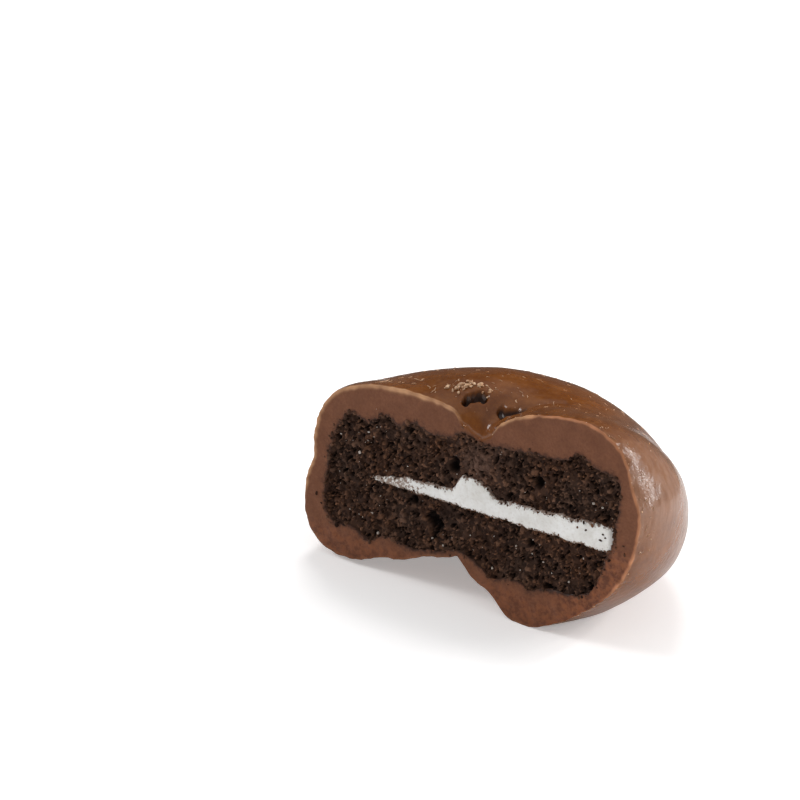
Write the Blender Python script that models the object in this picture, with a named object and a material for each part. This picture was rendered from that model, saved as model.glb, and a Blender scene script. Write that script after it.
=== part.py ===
"""Half of a small chocolate coated sandwich cookie, cut straight down through the middle.

Four pieces show at the cut: a thick milk chocolate coating that runs all the way round, two
dark cocoa wafers, and the white cream between them. The wafers met unevenly, so the cream is
a wedge: nothing at the left, thickest at the right, with a bump pressed up into the hole in
the middle of the upper wafer.

The cut face looks along -Y, the half cookie lies behind it, and +Z is up. Lengths are in
millimetres and turn into metres where a mesh is made. Shapes are worked out in the cookie's
own frame, with the origin in the cream at the middle of the cut, and the finished half is then
stood on the floor with its origin under the middle of its box.
"""
import math

import bmesh
import bpy
from mathutils import Matrix, Vector, noise

MM = 0.001

# The coated body, a lens with hollow middles at the top and at the bottom.
BODY_RADIUS = 13.85
BULGE = 2.3                  # extra reach behind the cut
WIDEST_Z_BACK = -3.1         # height of the widest line at the back; at the cut it is 0
TOP_RIGHT, TOP_LEFT, TOP_BACK = 8.55, 6.85, 8.7
BOTTOM_RIGHT, BOTTOM_LEFT = 10.0, 8.4
FLOOR_Z = -8.2               # the cookie has a flat worn ring where it stands
LEAN, LEAN_START = 0.20, -0.19   # sideways slip for each mm of height, and at the cream

# How square each quarter of the outline is: 2 is an ellipse, more is squarer.
SQUARE_TOP_RIGHT, SQUARE_TOP_LEFT, SQUARE_TOP_BACK = 3.2, 2.55, 1.8
SQUARE_LOW_RIGHT, SQUARE_LOW_LEFT, SQUARE_LOW_BACK = 1.8, 4.5, 2.75

# How soon behind the cut the back takes over, and how the bulge spreads round to it.
WIDEST_BLEND, TOP_BLEND, SQUARE_BLEND = 1.2, 1.15, 1.22
BULGE_SPREAD = 0.8

# Dimples, where the coating sank into the holes of the wafers.
TOP_DIMPLE_Z, BOTTOM_DIMPLE_Z = 5.5, -4.7
TOP_DIMPLE_RIGHT, TOP_DIMPLE_LEFT = 3.4, 2.2
BOTTOM_DIMPLE_RIGHT, BOTTOM_DIMPLE_LEFT = 6.6, 10.0
DIMPLE_SHARPNESS = 1.15
DIMPLE_FADE = 0.6            # share of the height over which a dimple dies out

# Marks in the coating.
WAIST_Z, WAIST_DEPTH, WAIST_HEIGHT = -1.2, 0.4, 0.7
WAIST_SIDE = 0.9             # the waist runs round the left side only
PIT_START, PIT_END = Vector((-0.95, 1.0, 0.0)), Vector((-0.2, 1.55, 0.0))
PIT_RADIUS, PIT_DEPTH = 0.45, 0.8
SLIT_START, SLIT_END = Vector((1.45, 1.4, 0.0)), Vector((2.8, 1.75, 0.0))
SLIT_RADIUS, SLIT_DEPTH = 0.4, 0.55
CREASE_END = Vector((4.9, 3.9, 0.0))
CREASE_RADIUS, CREASE_DEPTH = 0.4, 0.2
LUMP_SIZE, LUMP_HEIGHT = 5.0, 0.13
LUMP_BLEND = 3.0             # the lumps start this soon behind the cut
SCALLOP_SIZE, SCALLOP_HEIGHT = 1.6, 0.24
SCALLOP_ROUND = 6.0          # mm of scallop pattern for each radian round the foot

# The two wafers. Heights are taken at the middle of the cut.
UPPER_TILT, LOWER_TILT = 0.115, 0.02     # rise for each mm to the right
BACK_TILT = 0.165            # fall for each mm behind the cut, both wafers and the cream
UPPER_X, UPPER_RADIUS = 0.05, 12.2
UPPER_LOW, UPPER_HIGH = 0.55, 4.4
LOWER_X, LOWER_RADIUS = -0.95, 12.2
LOWER_LOW, LOWER_HIGH = -5.0, -0.97
LOWER_RIGHT_CHAMFER = 2.9    # the lower wafer's right rim runs in towards its base
RIM_ROUNDING = 0.06
HOLE_X, HOLE_RADIUS, HOLE_DEPTH = 0.1, 1.75, 1.4
BASE_DENT_X, BASE_DENT_RADIUS, BASE_DENT_DEPTH = -1.1, 2.0, 0.7
CRUMB_SIZE, CRUMB_DEPTH = 0.75, 0.32

# Ridges pressed into the wafers' outer faces: where each one crosses the cut, and its height.
UPPER_RIDGES = ((-10.4, 0.4), (-7.5, 0.7), (-4.9, 0.5), (-0.5, 0.6), (9.0, 0.7))
LOWER_RIDGES = ((-12.0, 0.5), (-9.1, 0.75), (-5.2, 0.3), (2.0, 0.5), (5.0, 0.4))
RIDGE_WIDTH = 0.85

# The cream.
CREAM_X, CREAM_RADIUS = 1.65, 10.0
CREAM_ROUNDING = 0.04
CREAM_ROOM_LEFT = 2.0        # the room for it runs on to where the wafers touch

# Where in the noise each rough surface is read.
SCALLOP_SEED, CRUMB_SEED = 3.7, 1.3

# Room between neighbours, and how far a cutter reaches out in front of the cut.
GAP = 0.25
CUT_REACH = 1.5

# How finely each surface is divided.
COAT_SECTORS = 44
COAT_ROWS_FINE, COAT_ROWS_COARSE = 24, 30
FINE_ROWS_FROM = math.radians(58)
WAFER_COLUMNS, WAFER_LAYERS = 44, 6
CREAM_COLUMNS, CREAM_LAYERS = 36, 3
WAFER_ROOM_LAYERS, CREAM_ROOM_LAYERS = 3, 2
SHARP_ANGLE = math.radians(40)
DEPTH_STEPS = (0.0, 0.12, 0.4, 0.72, 1.0)

COLOURS = {
    "coating": ((0.145, 0.055, 0.022), 0.34),
    "upper_wafer": ((0.030, 0.016, 0.011), 0.92),
    "lower_wafer": ((0.032, 0.017, 0.012), 0.92),
    "cream": ((0.74, 0.76, 0.73), 0.62),
}


def smooth_step(value):
    value = min(max(value, 0.0), 1.0)
    return value * value * (3 - 2 * value)


def mix(start, end, share):
    return start + (end - start) * share


def bell(distance, width):
    return math.exp(-(distance / width) ** 2)


def distance_to_line(point, start, end):
    """How far a point lies from the stretch between two others, seen from above."""
    run = end - start
    share = min(max((point - start).dot(run) / run.length_squared, 0.0), 1.0)
    return (point - start - run * share).length


def quarter_shape(right, back, climb):
    """Height, squareness and widest line of the outline, for a direction round the cookie."""
    widest = WIDEST_Z_BACK * smooth_step(back * WIDEST_BLEND)
    if climb >= 0:
        height = mix(mix(TOP_LEFT, TOP_RIGHT, right), TOP_BACK, smooth_step(back * TOP_BLEND))
        front = mix(SQUARE_TOP_LEFT, SQUARE_TOP_RIGHT, right)
        square = mix(front, SQUARE_TOP_BACK, smooth_step(back * SQUARE_BLEND))
        return height - widest, square, widest
    height = mix(BOTTOM_LEFT, BOTTOM_RIGHT, right)
    low_side = mix(SQUARE_LOW_LEFT, SQUARE_LOW_RIGHT, smooth_step(right))
    return height + widest, mix(low_side, SQUARE_LOW_BACK, back), widest


def top_marks(x, y):
    """How deep the pit, the slit and the crease are, under a place on the top."""
    place = Vector((x, y, 0.0))
    depth = PIT_DEPTH * bell(distance_to_line(place, PIT_START, PIT_END), PIT_RADIUS)
    depth += SLIT_DEPTH * bell(distance_to_line(place, SLIT_START, SLIT_END), SLIT_RADIUS)
    crease = distance_to_line(place, SLIT_END, CREASE_END)
    return depth + CREASE_DEPTH * bell(crease, CREASE_RADIUS)


def coat_point(around, climb):
    """A point on the coating: around is 0 at the right and pi at the left, climb runs from
    -pi/2 under the cookie to pi/2 on top."""
    right = (1 + math.cos(around)) / 2
    back = math.sin(around)
    height, square, widest = quarter_shape(right, back, climb)
    across, up = math.cos(climb), math.sin(climb)
    reach = (abs(across) ** square + abs(up) ** square) ** (-1 / square)
    radius = (BODY_RADIUS + BULGE * max(back, 0.0) ** BULGE_SPREAD) * across * reach
    z = widest + height * up * reach
    waist = bell(z - WAIST_Z, WAIST_HEIGHT) * smooth_step(WAIST_SIDE - 2 * right)
    radius -= WAIST_DEPTH * waist * smooth_step(radius / BODY_RADIUS)

    if climb >= 0:
        edge = mix(TOP_DIMPLE_LEFT, TOP_DIMPLE_RIGHT, right)
        dimple = math.exp(-(radius / edge) ** DIMPLE_SHARPNESS)
        top = height + widest
        z -= (top - TOP_DIMPLE_Z) * dimple * smooth_step(z / (DIMPLE_FADE * top))
    else:
        bottom = height - widest
        edge = mix(BOTTOM_DIMPLE_LEFT, BOTTOM_DIMPLE_RIGHT, right)
        place = Vector((radius, around * SCALLOP_ROUND, SCALLOP_SEED))
        wave = SCALLOP_HEIGHT * noise.noise(place / SCALLOP_SIZE)
        dimple = max(1 - radius / edge, 0.0)
        fade = smooth_step(-z / (DIMPLE_FADE * bottom))
        z += ((bottom + BOTTOM_DIMPLE_Z) * dimple + wave) * fade

    x = radius * math.cos(around) + LEAN * z + LEAN_START
    y = radius * back
    lump = LUMP_HEIGHT * noise.noise(Vector((x, y, z)) / LUMP_SIZE)
    z += lump * smooth_step(back * LUMP_BLEND)
    if climb > 0:
        z -= top_marks(x, y)
    return Vector((x, max(y, 0.0), max(z, FLOOR_Z)))


def climb_angles():
    """Rows of the coating from below to the top, closer together round the top dimple."""
    low = -math.pi / 2
    coarse = [mix(low, FINE_ROWS_FROM, row / COAT_ROWS_COARSE) for row in range(COAT_ROWS_COARSE)]
    fine = [mix(FINE_ROWS_FROM, math.pi / 2, row / COAT_ROWS_FINE)
            for row in range(COAT_ROWS_FINE + 1)]
    return coarse + fine


def new_mesh_object(name, mesh_data):
    mesh = bpy.data.meshes.new(name)
    mesh_data.to_mesh(mesh)
    mesh_data.free()
    piece = bpy.data.objects.new(name, mesh)
    bpy.context.collection.objects.link(piece)
    return piece


def coat_body():
    """The whole coated half before it is hollowed: skin and one flat cut face."""
    shape = bmesh.new()
    angles = climb_angles()
    foot = shape.verts.new(coat_point(0.0, angles[0]) * MM)
    peak = shape.verts.new(coat_point(0.0, angles[-1]) * MM)
    columns = []
    for sector in range(COAT_SECTORS + 1):
        around = math.pi * sector / COAT_SECTORS
        middle = [shape.verts.new(coat_point(around, climb) * MM) for climb in angles[1:-1]]
        columns.append([foot] + middle + [peak])
    for left, right in zip(columns[1:], columns):
        for row in range(len(left) - 1):
            corners = [right[row], left[row], left[row + 1], right[row + 1]]
            shape.faces.new(list(dict.fromkeys(corners)))
    shape.faces.new(columns[0] + columns[-1][-2:0:-1])
    bmesh.ops.recalc_face_normals(shape, faces=shape.faces)
    bmesh.ops.triangulate(shape, faces=[face for face in shape.faces if len(face.verts) > 4])
    return new_mesh_object("coating", shape)


def half_disc(across, back):
    """Maps a rectangle, -1 to 1 wide and 0 to 1 deep, onto half a disc of radius 1."""
    return across * math.sqrt(1 - back ** 2 / 2), back * math.sqrt(1 - across ** 2 / 2)


def layered_half(name, columns, layers, place):
    """A closed half disc whose surface is a grid; place(across, back, up) gives each point."""
    shape = bmesh.new()
    backs = len(DEPTH_STEPS) - 1
    points = {}

    def corner(i, j, k):
        if (i, j, k) not in points:
            spot = place(2 * i / columns - 1, DEPTH_STEPS[j], 2 * k / layers - 1)
            points[i, j, k] = shape.verts.new(spot * MM)
        return points[i, j, k]

    def sheet(width, height, at):
        for u in range(width):
            for v in range(height):
                ring = (at(u, v), at(u + 1, v), at(u + 1, v + 1), at(u, v + 1))
                shape.faces.new([corner(*spot) for spot in ring])

    sheet(columns, layers, lambda u, v: (u, 0, v))
    sheet(columns, layers, lambda u, v: (u, backs, v))
    sheet(columns, backs, lambda u, v: (u, v, 0))
    sheet(columns, backs, lambda u, v: (u, v, layers))
    sheet(backs, layers, lambda u, v: (0, u, v))
    sheet(backs, layers, lambda u, v: (columns, u, v))
    bmesh.ops.recalc_face_normals(shape, faces=shape.faces)
    return new_mesh_object(name, shape)


def rounded(up, amount):
    return 1 - amount * abs(up) ** 4


def crumb_depth(x, z):
    """How far the broken crumb lies behind the cut."""
    rough = noise.noise(Vector((x, z, CRUMB_SEED)) / CRUMB_SIZE)
    return CRUMB_DEPTH * (0.5 + 0.5 * rough)


def ridge_height(x, ridges):
    return sum(height * bell(x - middle, RIDGE_WIDTH) for middle, height in ridges)


def upper_plane(x, y):
    return UPPER_TILT * x - BACK_TILT * y


def lower_plane(x, y):
    return LOWER_TILT * x - BACK_TILT * y


def hole_rise(x, y):
    """The hole in the middle of the upper wafer, seen from below, that the cream went into."""
    distance = math.hypot(x - HOLE_X, y) / HOLE_RADIUS
    return HOLE_DEPTH * math.exp(-distance ** 4)


def base_rise(x, y):
    """The dent in the lower wafer's underside, behind the notch."""
    return BASE_DENT_DEPTH * bell(math.hypot(x - BASE_DENT_X, y), BASE_DENT_RADIUS)


def at_the_cut(x, y, z, back, grow, relief):
    """Puts the relief on a piece's cut, or takes a cutter out past the cut."""
    if back == 0:
        y = -CUT_REACH if grow else relief
    return Vector((x, y, z))


def upper_wafer_point(across, back, up, grow=0.0):
    """A point on the upper wafer, or on the room for it where grow is the gap."""
    wide, deep = half_disc(across, back)
    radius = (UPPER_RADIUS + grow) * rounded(up, RIM_ROUNDING)
    x, y = UPPER_X + radius * wide, radius * deep
    low, high = UPPER_LOW - grow, UPPER_HIGH + ridge_height(x, UPPER_RIDGES) + grow
    if not grow:
        low += hole_rise(x, y)
    z = upper_plane(x, y) + mix(low, high, (up + 1) / 2)
    return at_the_cut(x, y, z, back, grow, crumb_depth(x, z))


def lower_wafer_point(across, back, up, grow=0.0):
    """A point on the lower wafer, or on the room for it where grow is the gap."""
    wide, deep = half_disc(across, back)
    radius = (LOWER_RADIUS + grow) * rounded(up, RIM_ROUNDING)
    radius -= LOWER_RIGHT_CHAMFER * max(wide, 0.0) * (1 - up) / 2
    x, y = LOWER_X + radius * wide, radius * deep
    low, high = LOWER_LOW - ridge_height(x, LOWER_RIDGES) - grow, LOWER_HIGH + grow
    if not grow:
        low += base_rise(x, y)
    z = lower_plane(x, y) + mix(low, high, (up + 1) / 2)
    return at_the_cut(x, y, z, back, grow, crumb_depth(x, z))


def cream_point(across, back, up, grow=0.0):
    """A point on the cream, or on the room for it where grow is the gap."""
    wide, deep = half_disc(across, back)
    radius = (CREAM_RADIUS + grow) * rounded(up, CREAM_ROUNDING)
    if grow and wide < 0:
        radius += CREAM_ROOM_LEFT * abs(wide)
    x, y = CREAM_X + radius * wide, radius * deep
    low = lower_plane(x, y) + LOWER_HIGH + GAP - grow
    high = upper_plane(x, y) + UPPER_LOW + hole_rise(x, y) - GAP + grow
    return at_the_cut(x, y, mix(low, high, (up + 1) / 2), back, grow, 0.0)


def filling_rooms():
    """The cutters that hollow the coating: each filling piece's shape with room round it."""
    rooms = bpy.data.collections.new("filling_rooms")
    bpy.context.scene.collection.children.link(rooms)
    shapes = {
        "upper_wafer_room": (WAFER_COLUMNS, WAFER_ROOM_LAYERS, upper_wafer_point),
        "lower_wafer_room": (WAFER_COLUMNS, WAFER_ROOM_LAYERS, lower_wafer_point),
        "cream_room": (CREAM_COLUMNS, CREAM_ROOM_LAYERS, cream_point),
    }
    for name, (columns, layers, place) in shapes.items():
        cutter = layered_half(name, columns, layers, lambda *at: place(*at, grow=GAP))
        cutter.display_type = "WIRE"
        cutter.hide_render = True
        bpy.context.collection.objects.unlink(cutter)
        rooms.objects.link(cutter)
    return rooms


def hollow(coat, rooms):
    cut = coat.modifiers.new("filling_rooms", "BOOLEAN")
    cut.operation = "DIFFERENCE"
    cut.operand_type = "COLLECTION"
    cut.collection = rooms


def paint(piece):
    colour, roughness = COLOURS[piece.name]
    material = bpy.data.materials.new(piece.name)
    material.use_nodes = True
    shader = material.node_tree.nodes["Principled BSDF"]
    shader.inputs["Base Color"].default_value = (*colour, 1.0)
    shader.inputs["Roughness"].default_value = roughness
    piece.data.materials.append(material)


def stand_on_floor(pieces, body):
    """Moves everything so that the origin is under the middle of the body's box."""
    corners = [vertex.co for vertex in body.data.vertices]
    low = Vector([min(point[axis] for point in corners) for axis in range(3)])
    high = Vector([max(point[axis] for point in corners) for axis in range(3)])
    shift = Vector((-(low.x + high.x) / 2, -(low.y + high.y) / 2, -low.z))
    for piece in pieces:
        piece.data.transform(Matrix.Translation(shift))


def main():
    for old in list(bpy.data.objects):
        bpy.data.objects.remove(old, do_unlink=True)

    coat = coat_body()
    rooms = filling_rooms()
    hollow(coat, rooms)
    fillings = [
        layered_half("upper_wafer", WAFER_COLUMNS, WAFER_LAYERS, upper_wafer_point),
        layered_half("lower_wafer", WAFER_COLUMNS, WAFER_LAYERS, lower_wafer_point),
        layered_half("cream", CREAM_COLUMNS, CREAM_LAYERS, cream_point),
    ]
    stand_on_floor([coat, *rooms.objects, *fillings], coat)
    for piece in [coat] + fillings:
        paint(piece)
        piece.data.shade_smooth()
        piece.data.set_sharp_from_angle(angle=SHARP_ANGLE)


main()
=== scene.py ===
"""Looks of the halved, chocolate coated sandwich cookie: crumb, cream, coating and studio.

The fixed frame comes in metres. Shapes here are worked out in millimetres in the cookie's own
frame: the origin is in the cream at the middle of the cut, +X runs right along the cut, +Y
goes back from the cut face, and +Z is up. `shift` then carries them onto the frame.
"""

import math

import bmesh
import bpy
import numpy as np
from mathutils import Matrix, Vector, noise


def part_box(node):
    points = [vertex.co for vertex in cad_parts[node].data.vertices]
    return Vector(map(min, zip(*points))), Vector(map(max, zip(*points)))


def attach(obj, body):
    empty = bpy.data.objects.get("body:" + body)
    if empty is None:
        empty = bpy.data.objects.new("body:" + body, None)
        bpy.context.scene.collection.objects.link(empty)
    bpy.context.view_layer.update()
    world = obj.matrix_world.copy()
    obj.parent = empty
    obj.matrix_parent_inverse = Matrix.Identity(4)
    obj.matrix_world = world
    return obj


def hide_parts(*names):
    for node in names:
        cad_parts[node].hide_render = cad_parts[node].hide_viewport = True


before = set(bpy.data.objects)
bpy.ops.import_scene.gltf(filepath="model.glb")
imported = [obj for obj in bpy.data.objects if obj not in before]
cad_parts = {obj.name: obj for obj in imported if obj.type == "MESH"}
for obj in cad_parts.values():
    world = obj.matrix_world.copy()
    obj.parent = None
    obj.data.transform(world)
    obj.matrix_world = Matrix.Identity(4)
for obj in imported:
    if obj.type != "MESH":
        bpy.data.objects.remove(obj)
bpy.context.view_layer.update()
MM = 0.001

# The coated body. Pairs are what it is at the left and at the right end of the cut.
BODY_RADIUS, BULGE, BULGE_SPREAD = 13.85, 2.3, 0.8
WIDEST_Z_BACK = -3.1
TOP, TOP_BACK, TOP_TILT = (6.85, 8.55), 8.6, 0.35
BOTTOM = 8.4, 10.0
FLOOR_Z = -8.2
LEAN, LEAN_START = 0.20, -0.19
SQUARE_TOP, SQUARE_TOP_BACK = (2.55, 3.4), 1.8
SQUARE_LOW, SQUARE_LOW_BACK = (4.5, 1.8), 2.75
WIDEST_BLEND, TOP_BLEND, SQUARE_BLEND = 1.2, 1.15, 1.22
SHOULDER, SHOULDER_REACH = 1.0, 0.15  # the left lobe is squarer at the cut alone
CORNER_RADIUS, CORNER_WIDTH, CORNER_RISE = 8.8, 2.9, 0.55  # the right one has a fuller corner
CORNER_FROM, CORNER_BLEND, CORNER_REACH = 0.7, 0.25, 0.3
SLIM_Z, SLIM_HEIGHT, SLIM_DEPTH = 5.2, 1.6, 0.66  # over a slimmer flank
TOP_DIMPLE_Z, BOTTOM_DIMPLE_Z = 5.5, -4.7
TOP_DIMPLE, BOTTOM_DIMPLE = (2.2, 2.7), (10.0, 6.6)
DIMPLE_SHARPNESS, DIMPLE_FADE = 1.3, 0.6
WAIST_Z, WAIST_DEPTH, WAIST_HEIGHT, WAIST_SIDE = -0.7, 0.34, 1.0, 0.9
WAIST_EASE, WAIST_BLEND = 0.75, 1.4  # it eases off to the back
RAGGED_EDGE, RAGGED_SIZE, RAGGED_REACH = 0.07, 0.5, 0.3  # the coat breaks unevenly at the cut
LUMP_SIZE, LUMP_HEIGHT, LUMP_BLEND = 5.0, 0.13, 3.0
FINE_LUMPS = ((2.2, 0.05, 11.3), (0.9, 0.02, 12.3))  # size, height and seed
SCALLOP_SIZE, SCALLOP_HEIGHT, SCALLOP_ROUND, SCALLOP_SEED = 2.0, 0.10, 6.0, 3.7
FOOT_LOBE, FOOT_PHASE = 3.7, (0.70, 0.84)  # rounded lobes by the cut
FOOT_LOBE_LEFT, FOOT_LOBE_RIGHT, FOOT_LOBE_BLEND = 0.10, 0.2, 2.5
FOOT_LOBE_END, FOOT_LOBE_FADE, FOOT_CALM = 5.2, 2.0, 2.0
NOTCH_X, NOTCH_HALF, NOTCH_ROUND = 0.5, 2.1, 0.6  # where the skin runs down over the cut's edge
NOTCH_FADE, NOTCH_LOW = 0.9, 3.0

# Marks in its top.
PIT_START, PIT_END = (-0.95, 1.0), (-0.2, 1.55)
PIT_RADIUS, PIT_DEPTH = 0.33, 0.8
SLIT_START, SLIT_END = (1.45, 1.4), (2.8, 1.75)
SLIT_RADIUS, SLIT_DEPTH = 0.3, 0.45
PIT_WOBBLE, PIT_WOBBLE_SIZE, SLIT_SHARE = 0.34, 0.5, 0.7  # their ragged edges
CREASE_END, CREASE_RADIUS, CREASE_DEPTH = (4.9, 3.9), 0.42, 0.16
MARK_FULL, MARK_FROM, MARK_BLEND, TOP_FROM = 0.5, 0.2, 0.5, 0.3  # where they get painted shade

# The broken edge of the coating round the cut: how plain it is, how wide, and how far it stands out.
# Its pale colour is partly broken glaze and partly a painted highlight.
RIM_PLAIN, RIM_LEAST = 0.72, 0.12
RIM_WAVES = ((0.9, 0.5, 8), (0.45, 0.25, 9))  # size, strength and seed
RIM_RIGHT_X, RIM_RIGHT_BLEND, RIM_RIGHT = 5.0, 1.5, 0.75  # duller on the right
RIM_FOOT_Z, RIM_FOOT_BLEND, RIM_FOOT = -5.0, 2.5, 0.15  # and almost gone by the foot
RIM_NOTCH = 0.97
RIM_WARM_X, RIM_WARM_BLEND, RIM_WARM_THIN = 4.0, 2.5, 0.35  # redder and thinner on the right
RIM_WIDTH, RIM_WIDTH_PLAIN, RIM_RISE, RIM_RISE_AT = 0.15, 0.19, 0.07, 0.12
RIM_GLOW = 0.07  # how far the edge's colour, partly a painted highlight, runs over onto the skin

# The cut face of the coating.
CUT_WAVES = ((2.6, 0.06, 2, 0.8), (0.7, 0.02, 3, 0.4))  # size, height, seed and calm edge
WET_WAVES = ((0.9, 0.12, 6), (0.4, 0.07, 7))  # size, height and seed where it is smeared
WET_X, WET_X_BLEND, WET_Z, WET_Z_BLEND = 5.0, 4.0, 1.5, 3.0
WET_FOOT_Z, WET_FOOT_BLEND, WET_FOOT = -5.2, 1.2, 0.7
SMUDGE_WIDTH = 0.32
SKIN_EDGE, SKIN_EDGE_NOTCH = 0.02, 0.7  # where the cut's colour starts
PAINTED_SHEEN_TOP, PAINTED_SHEEN_FOOT, PAINTED_SHEEN_BLEND = 68, -18, 45  # the band of painted sheen round the side, in degrees

# The filling: two wafers and the cream, and the outline they have together at the cut.
UPPER_TILT, LOWER_TILT, BACK_TILT = 0.115, 0.02, 0.165
UPPER_HIGH, LOWER_LOW = 4.4, -5.0
UPPER_RIDGES = ((-10.4, 0.65), (-7.5, 0.75), (-4.9, 0.5), (-0.5, 0.6), (9.0, 0.7))
LOWER_RIDGES = ((-12.0, 0.5), (-9.1, 0.75), (-5.2, 0.3), (2.0, 0.5), (5.0, 0.4))
RIDGE_WIDTH = 0.85
BASE_DENT_X, BASE_DENT_RADIUS, BASE_DENT_DEPTH = -1.1, 1.6, 0.75
LEFT_SIDE, LEFT_SLOPE = -12.45, 0.85
RIGHT_SIDE, RIGHT_SLOPE_UP, RIGHT_SLOPE_DOWN = 11.75, 1.1, 1.75
FILLING_SQUARE = 8.0
EDGE_WAVES = ((1.1, 0.10, 5.1), (0.3, 0.14, 5.1))  # size, height and seed of the crumb's edge
FILLING_DEPTH, FILLING_MIDDLE, BACK_FLATTEN = 12.0, -0.4, 0.35
CAVITY_END_Z = -0.3
UNDER_COAT = 0.22  # the crumb runs on this far behind the coat's edge

CREAM_LOW, CREAM_LOW_TILT = -0.86, 0.026
CREAM_HIGH, CREAM_HIGH_TILT = 0.45, 0.09
CREAM_LOW_WAVES = ((1.1, 0.16, 51), (0.35, 0.09, 52))  # size, height and seed
CREAM_HIGH_WAVES = ((1.0, 0.16, 53), (0.3, 0.10, 54))
CREAM_TIP, CREAM_TAPER, CREAM_BLUNT = -9.4, 3.6, 0.6
CREAM_RIGHT = 12.0
CREAM_DEPTH, CREAM_MIDDLE = 10.0, 1.4
BUMP_X, BUMP_WIDTH, BUMP_HEIGHT, BUMP_SLOPE, BUMP_SQUARE = 0.2, 1.5, 1.12, 0.3, 6
CREAM_OVERLAP = 0.12  # crumbs cover this much of the cream's edges
SEAM_Z = -0.95
CREAM_SINK, CREAM_SINK_WIDTH, CREAM_FRONT = 0.16, 0.16, -0.02  # sunk along its edges
CREAM_WAVES = ((1.3, 0.05, 31), (0.45, 0.015, 33))
TIP_SINK, TIP_LENGTH, END_SINK, END_FROM, END_LENGTH = 0.25, 1.2, 0.3, 0.5, 0.4
SOILED_WIDTH, SOILED_EDGE, SOILED_TIP = 0.26, 0.85, 0.62  # crumbs smeared along the edges
SOILED_REACH, SOILED_BLEND = 8.0, 5.0  # and over its thin end

# How finely each surface is divided.
SKIN_COLUMNS, SKIN_CROWDING = 236, 0.78
SKIN_ROWS_LOW, SKIN_ROWS_HIGH, HIGH_ROWS_FROM = 160, 134, math.radians(48)
RIM_STEPS = (0.05, 0.1, 0.16, 0.23, 0.31, 0.42, 0.56)
RIM_SHARE = 0.25  # of the ring's width, at the most
RING_STEPS = 20
CRUMB_COLUMNS, CRUMB_ROWS, CRUMB_END = 580, 104, 0.9995
CREAM_COLUMNS, CREAM_ROWS = 420, 34
CAVITY_ANGLES = np.radians((8, 20, 34, 48, 62, 76, 86))

# The crumb's relief is built on a raster that covers the whole cut.
RASTER_STEP, COARSE_CELLS = 0.04, 4
RASTER_LOW, RASTER_HIGH = (-13.8, -6.6), (13.4, 7.2)
CRUMB_DEPTH, SWELL_HEIGHT, SWELL_SIZE = 0.30, 0.10, 1.5
CRUMB_TONE, WALL_TONE = 0.12, 0.3
SMEAR_X, SMEAR_Z, SMEAR_WIDTH, SMEAR_HEIGHT = 0.5, 2.9, 1.7, 1.5  # where the knife smeared it
PIT_FRONT, VOID_DEPTH = 0.25, 0.8
CRUMB_JOLT, CRUMB_JOLT_SIZE = 0.10, 0.22  # shifts that make the grains' outlines uneven
CRUMB_EDGE, CRUMB_EDGE_WIDTH, CRUMB_LEAST = 0.55, 0.45, 0.02  # it comes forward at its edge
DEEP_FROM, DEEP_RANGE = 0.2, 0.5  # how deep it is where painted shade darkens it


def ease(value):
    """A smooth rise from 0 to 1."""
    value = np.clip(value, 0.0, 1.0)
    return value * value * (3 - 2 * value)


def mix(start, end, share):
    return start + (end - start) * share


def bell(distance, width):
    return np.exp(-(distance / width) ** 2)


def noise_at(x, y, z, size, seed=0.0):
    """Smooth noise, about -1 to 1, at arrays of places."""
    x, y, z = np.broadcast_arrays(x, y, z)
    spots = np.stack([x, y, z], -1).reshape(-1, 3) / size + seed
    return np.array([noise.noise(spot) for spot in spots.tolist()]).reshape(x.shape)


def layered_noise(x, y, z, layers):
    """Noise added up from layers that each have a size, a height and a seed."""
    return sum(height * noise_at(x, y, z, size, seed) for size, height, seed in layers)


def distance_to_line(x, y, start, end):
    run_x, run_y = end[0] - start[0], end[1] - start[1]
    share = ((x - start[0]) * run_x + (y - start[1]) * run_y) / (run_x ** 2 + run_y ** 2)
    share = np.clip(share, 0, 1)
    return np.hypot(x - start[0] - run_x * share, y - start[1] - run_y * share)


def superellipse(angle, square):
    across, up = np.cos(angle), np.sin(angle)
    reach = (np.abs(across) ** square + np.abs(up) ** square) ** (-1 / square)
    return across * reach, up * reach


# The coating

def top_marks(x, y):
    """How deep the pit, the slit and the crease are, with ragged edges."""
    ragged = PIT_WOBBLE * noise_at(x, y, 0, PIT_WOBBLE_SIZE, seed=14)
    pit = distance_to_line(x, y, PIT_START, PIT_END) + ragged
    slit = distance_to_line(x, y, SLIT_START, SLIT_END) + ragged * SLIT_SHARE
    depth = PIT_DEPTH * np.exp(-(np.maximum(pit, 0) / PIT_RADIUS) ** 4)
    depth += SLIT_DEPTH * np.exp(-(np.maximum(slit, 0) / SLIT_RADIUS) ** 3)
    return depth + CREASE_DEPTH * bell(distance_to_line(x, y, SLIT_END, CREASE_END), CREASE_RADIUS)


def at_notch(x, z):
    """1 where the notch between the two lobes meets the cut, fading to 0 beside it."""
    return ease((NOTCH_HALF - np.abs(x - NOTCH_X)) / NOTCH_FADE) * (z > NOTCH_LOW)


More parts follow.
